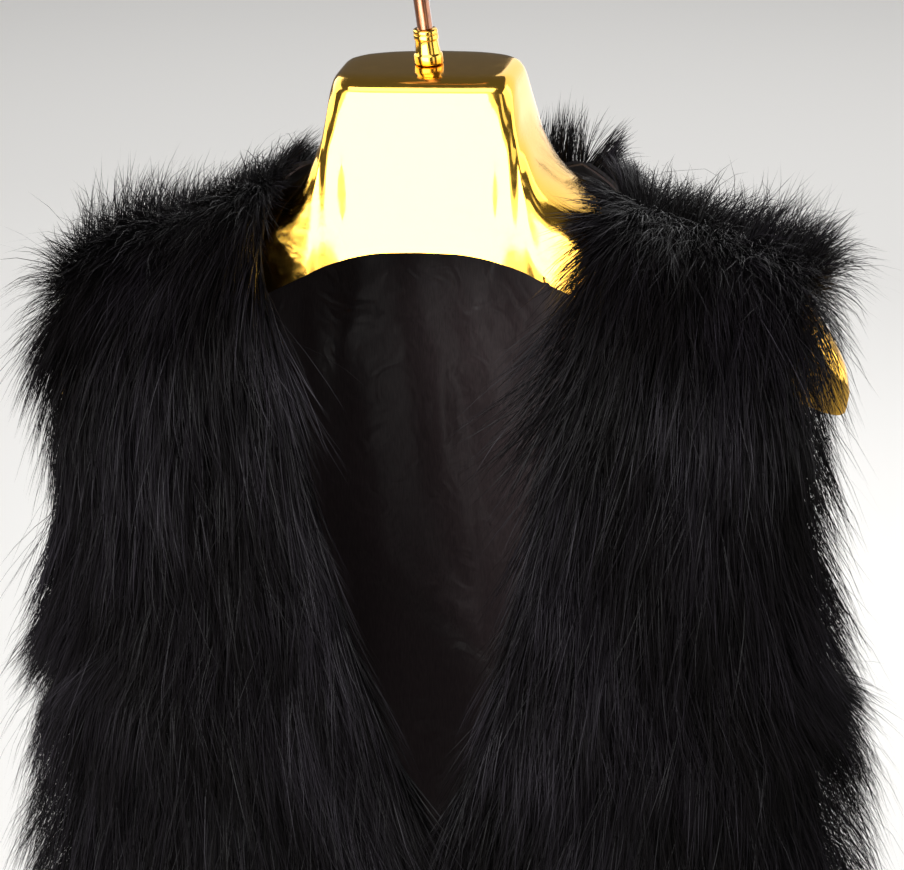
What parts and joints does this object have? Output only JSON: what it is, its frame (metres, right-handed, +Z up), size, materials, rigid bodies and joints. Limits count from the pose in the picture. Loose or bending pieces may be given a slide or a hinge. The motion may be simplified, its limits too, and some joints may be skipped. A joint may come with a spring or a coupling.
{
  "type": "faux fur vest on coat hanger",
  "caption": "Sleeveless V-neck vest of long-pile faux fur with a satin back lining, hanging on a wide-shouldered coat hanger with a round hook.",
  "frame": {"origin": "the inside top of the hanger's hook, where a rail or peg carries it", "axes": "+Z up, front of the vest towards -Y, +X to the wearer's left, which is on the right as seen from the front"},
  "size_m": [0.4659, 0.1992, 0.7813],
  "materials": {
    "fur_pile": "long straight silky pile, near black",
    "lining_satin": "soft satin, dark taupe black",
    "gold_plate": "mirror-bright gold plating on moulded plastic",
    "ferrule_metal": "polished, gold plated",
    "hook_metal": "copper-toned rod in a clear sleeve"
  },
  "bodies": {
    "root": {"back_panel": "fur_pile", "front_left": "fur_pile", "front_right": "fur_pile", "lining_back": "lining_satin", "hanger_body": "gold_plate", "hanger_ferrule": "ferrule_metal", "hanger_hook": "hook_metal"}
  },
  "joints": []
}
